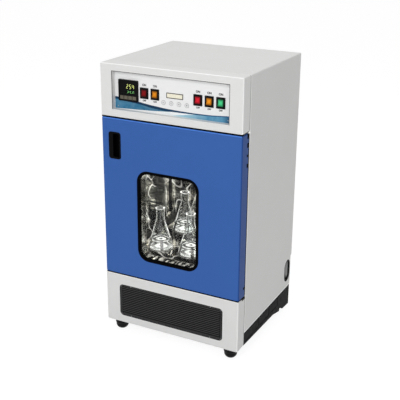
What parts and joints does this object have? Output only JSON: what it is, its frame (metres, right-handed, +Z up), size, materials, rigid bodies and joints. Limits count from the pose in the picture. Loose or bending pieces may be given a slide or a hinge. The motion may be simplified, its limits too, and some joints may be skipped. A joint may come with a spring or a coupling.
{
  "type": "incubated shaker",
  "caption": "Upright incubated shaker cabinet with a glazed side-hinged door, recessed control panel, louvred plinth and an orbital platform holding conical flasks.",
  "frame": {"origin": "on the floor under the middle of the bounding box", "axes": "+Z up, the door faces -Y, +X to the right of someone facing the door"},
  "size_m": [0.506, 0.48, 0.961],
  "materials": {
    "light_paint": "semi-gloss powder coat",
    "side_paint": "semi-gloss powder coat",
    "door_blue": "semi-gloss powder coat",
    "panel_print": "satin with printed band",
    "black_plastic": "fine grain",
    "black_rubber": "matt",
    "clear_glass": "clear",
    "polished_steel": "bright polished",
    "bright_steel": "satin",
    "machined_steel": "machined",
    "cast_aluminium": "machined",
    "finned_aluminium": "mill finish",
    "black_enamel": "gloss enamel",
    "motor_grey": "satin enamel",
    "fan_plastic": "moulded",
    "foam": "rigid foam",
    "controller_case": "moulded",
    "display_module": "window and board",
    "lamp": "opal",
    "red_rocker": "gloss",
    "amber_rocker": "gloss",
    "green_rocker": "gloss",
    "pale_key": "satin"
  },
  "bodies": {
    "cabinet": {"base_frame": "black_plastic", "cabinet_wrapper": "side_paint", "grip_inserts": "black_plastic", "rear_cover": "side_paint", "compressor_cover": "side_paint", "mains_inlet": "black_plastic", "control_head": "light_paint", "control_panel": "panel_print", "temperature_controller": "controller_case", "switch_housings": "black_plastic", "lcd_module": "display_module", "plinth_front": "light_paint", "plinth_grille": "black_plastic", "chamber_liner": "polished_steel", "insulation": "foam", "duct_panel": "polished_steel", "fan_motor": "motor_grey", "heater": "bright_steel", "evaporator": "finned_aluminium", "temperature_probe": "bright_steel", "chamber_lamp": "lamp", "drive_base": "cast_aluminium", "drive_belt": "black_rubber", "shaker_motor": "motor_grey", "compressor": "black_enamel", "condenser": "finned_aluminium", "condenser_fan_shroud": "black_enamel", "hinge_brackets": "machined_steel"},
    "door": {"door_skin": "door_blue", "door_insulation": "foam", "door_liner": "polished_steel", "window_gasket": "black_rubber", "window_glass": "clear_glass", "door_seal": "black_rubber", "handle_cup": "black_plastic"},
    "drive_shaft": {"crank_shaft": "machined_steel", "large_pulley": "cast_aluminium"},
    "shaking_platform": {"carrier_frame": "cast_aluminium", "platform": "bright_steel", "flask_clamps": "bright_steel", "flasks": "clear_glass"},
    "heater_rocker": {"heater_rocker": "red_rocker"},
    "cooling_rocker": {"cooling_rocker": "amber_rocker"},
    "shaker_rocker": {"shaker_rocker": "red_rocker"},
    "light_rocker": {"light_rocker": "amber_rocker"},
    "mains_rocker": {"mains_rocker": "green_rocker"},
    "key_set": {"key_set": "pale_key"},
    "key_minus": {"key_minus": "pale_key"},
    "key_plus": {"key_plus": "pale_key"},
    "key_start": {"key_start": "pale_key"},
    "levelling_foot_1": {"levelling_foot_1": "black_plastic"},
    "levelling_foot_2": {"levelling_foot_2": "black_plastic"},
    "levelling_foot_3": {"levelling_foot_3": "black_plastic"},
    "levelling_foot_4": {"levelling_foot_4": "black_plastic"},
    "idler_crank_1": {"idler_crank_1": "machined_steel"},
    "idler_crank_2": {"idler_crank_2": "machined_steel"},
    "idler_crank_3": {"idler_crank_3": "machined_steel"},
    "circulation_fan": {"circulation_fan": "cast_aluminium"},
    "condenser_fan": {"condenser_fan": "fan_plastic"},
    "motor_pulley": {"motor_pulley": "cast_aluminium"}
  },
  "joints": [
    {"name": "door_hinge", "type": "hinge", "parent": "cabinet", "child": "door", "pos_m": [0.241, -0.2145, 0.505], "axis": [0, 0, 1], "range_deg": [0, 110]},
    {"name": "heater_rocker_tilt", "type": "hinge", "parent": "cabinet", "child": "heater_rocker", "pos_m": [-0.0992, -0.2217, 0.8725], "axis": [1, 0, 0], "range_deg": [0, 18]},
    {"name": "cooling_rocker_tilt", "type": "hinge", "parent": "cabinet", "child": "cooling_rocker", "pos_m": [-0.0602, -0.2217, 0.8725], "axis": [1, 0, 0], "range_deg": [0, 18]},
    {"name": "shaker_rocker_tilt", "type": "hinge", "parent": "cabinet", "child": "shaker_rocker", "pos_m": [0.0919, -0.2217, 0.8725], "axis": [1, 0, 0], "range_deg": [0, 18]},
    {"name": "light_rocker_tilt", "type": "hinge", "parent": "cabinet", "child": "light_rocker", "pos_m": [0.1309, -0.2217, 0.8725], "axis": [1, 0, 0], "range_deg": [0, 18]},
    {"name": "mains_rocker_tilt", "type": "hinge", "parent": "cabinet", "child": "mains_rocker", "pos_m": [0.1699, -0.2217, 0.8725], "axis": [1, 0, 0], "range_deg": [0, 18]},
    {"name": "key_set_travel", "type": "slide", "parent": "cabinet", "child": "key_set", "axis": [0, 1, 0], "range_m": [0, 0.0008], "stiffness_N_per_m": 300},
    {"name": "key_minus_travel", "type": "slide", "parent": "cabinet", "child": "key_minus", "axis": [0, 1, 0], "range_m": [0, 0.0008], "stiffness_N_per_m": 300},
    {"name": "key_plus_travel", "type": "slide", "parent": "cabinet", "child": "key_plus", "axis": [0, 1, 0], "range_m": [0, 0.0008], "stiffness_N_per_m": 300},
    {"name": "key_start_travel", "type": "slide", "parent": "cabinet", "child": "key_start", "axis": [0, 1, 0], "range_m": [0, 0.0008], "stiffness_N_per_m": 300},
    {"name": "foot_1_turn", "type": "hinge", "parent": "cabinet", "child": "levelling_foot_1", "pos_m": [-0.214, -0.205, 0.041], "axis": [0, 0, 1], "continuous": true},
    {"name": "foot_2_turn", "type": "hinge", "parent": "cabinet", "child": "levelling_foot_2", "pos_m": [0.214, -0.205, 0.041], "axis": [0, 0, 1], "continuous": true},
    {"name": "foot_3_turn", "type": "hinge", "parent": "cabinet", "child": "levelling_foot_3", "pos_m": [-0.214, 0.201, 0.041], "axis": [0, 0, 1], "continuous": true},
    {"name": "foot_4_turn", "type": "hinge", "parent": "cabinet", "child": "levelling_foot_4", "pos_m": [0.214, 0.201, 0.041], "axis": [0, 0, 1], "continuous": true},
    {"name": "circulation_fan_spin", "type": "hinge", "parent": "cabinet", "child": "circulation_fan", "pos_m": [0, 0.1592, 0.6], "axis": [0, 1, 0], "continuous": true},
    {"name": "condenser_fan_spin", "type": "hinge", "parent": "cabinet", "child": "condenser_fan", "pos_m": [-0.084, -0.136, 0.103], "axis": [0, 1, 0], "continuous": true},
    {"name": "drive_shaft_spin", "type": "hinge", "parent": "cabinet", "child": "drive_shaft", "pos_m": [0, -0.01, 0.263], "axis": [0, 0, 1], "continuous": true},
    {"name": "crank_pin_turn", "type": "hinge", "parent": "drive_shaft", "child": "shaking_platform", "pos_m": [0, 0, 0.269], "axis": [0, 0, 1], "continuous": true},
    {"name": "idler_crank_1_spin", "type": "hinge", "parent": "cabinet", "child": "idler_crank_1", "pos_m": [-0.13, -0.08, 0.263], "axis": [0, 0, 1], "continuous": true},
    {"name": "idler_crank_2_spin", "type": "hinge", "parent": "cabinet", "child": "idler_crank_2", "pos_m": [0.13, -0.08, 0.263], "axis": [0, 0, 1], "continuous": true},
    {"name": "idler_crank_3_spin", "type": "hinge", "parent": "cabinet", "child": "idler_crank_3", "pos_m": [0, 0.085, 0.263], "axis": [0, 0, 1], "continuous": true},
    {"name": "motor_spin", "type": "hinge", "parent": "cabinet", "child": "motor_pulley", "pos_m": [0.118, 0.03, 0.2483], "axis": [0, 0, 1], "continuous": true}
  ],
  "couplings": [
    {"joint": "crank_pin_turn", "follows": "drive_shaft_spin", "ratio": -1},
    {"joint": "idler_crank_1_spin", "follows": "drive_shaft_spin", "ratio": 1},
    {"joint": "idler_crank_2_spin", "follows": "drive_shaft_spin", "ratio": 1},
    {"joint": "idler_crank_3_spin", "follows": "drive_shaft_spin", "ratio": 1},
    {"joint": "motor_spin", "follows": "drive_shaft_spin", "ratio": 3}
  ]
}
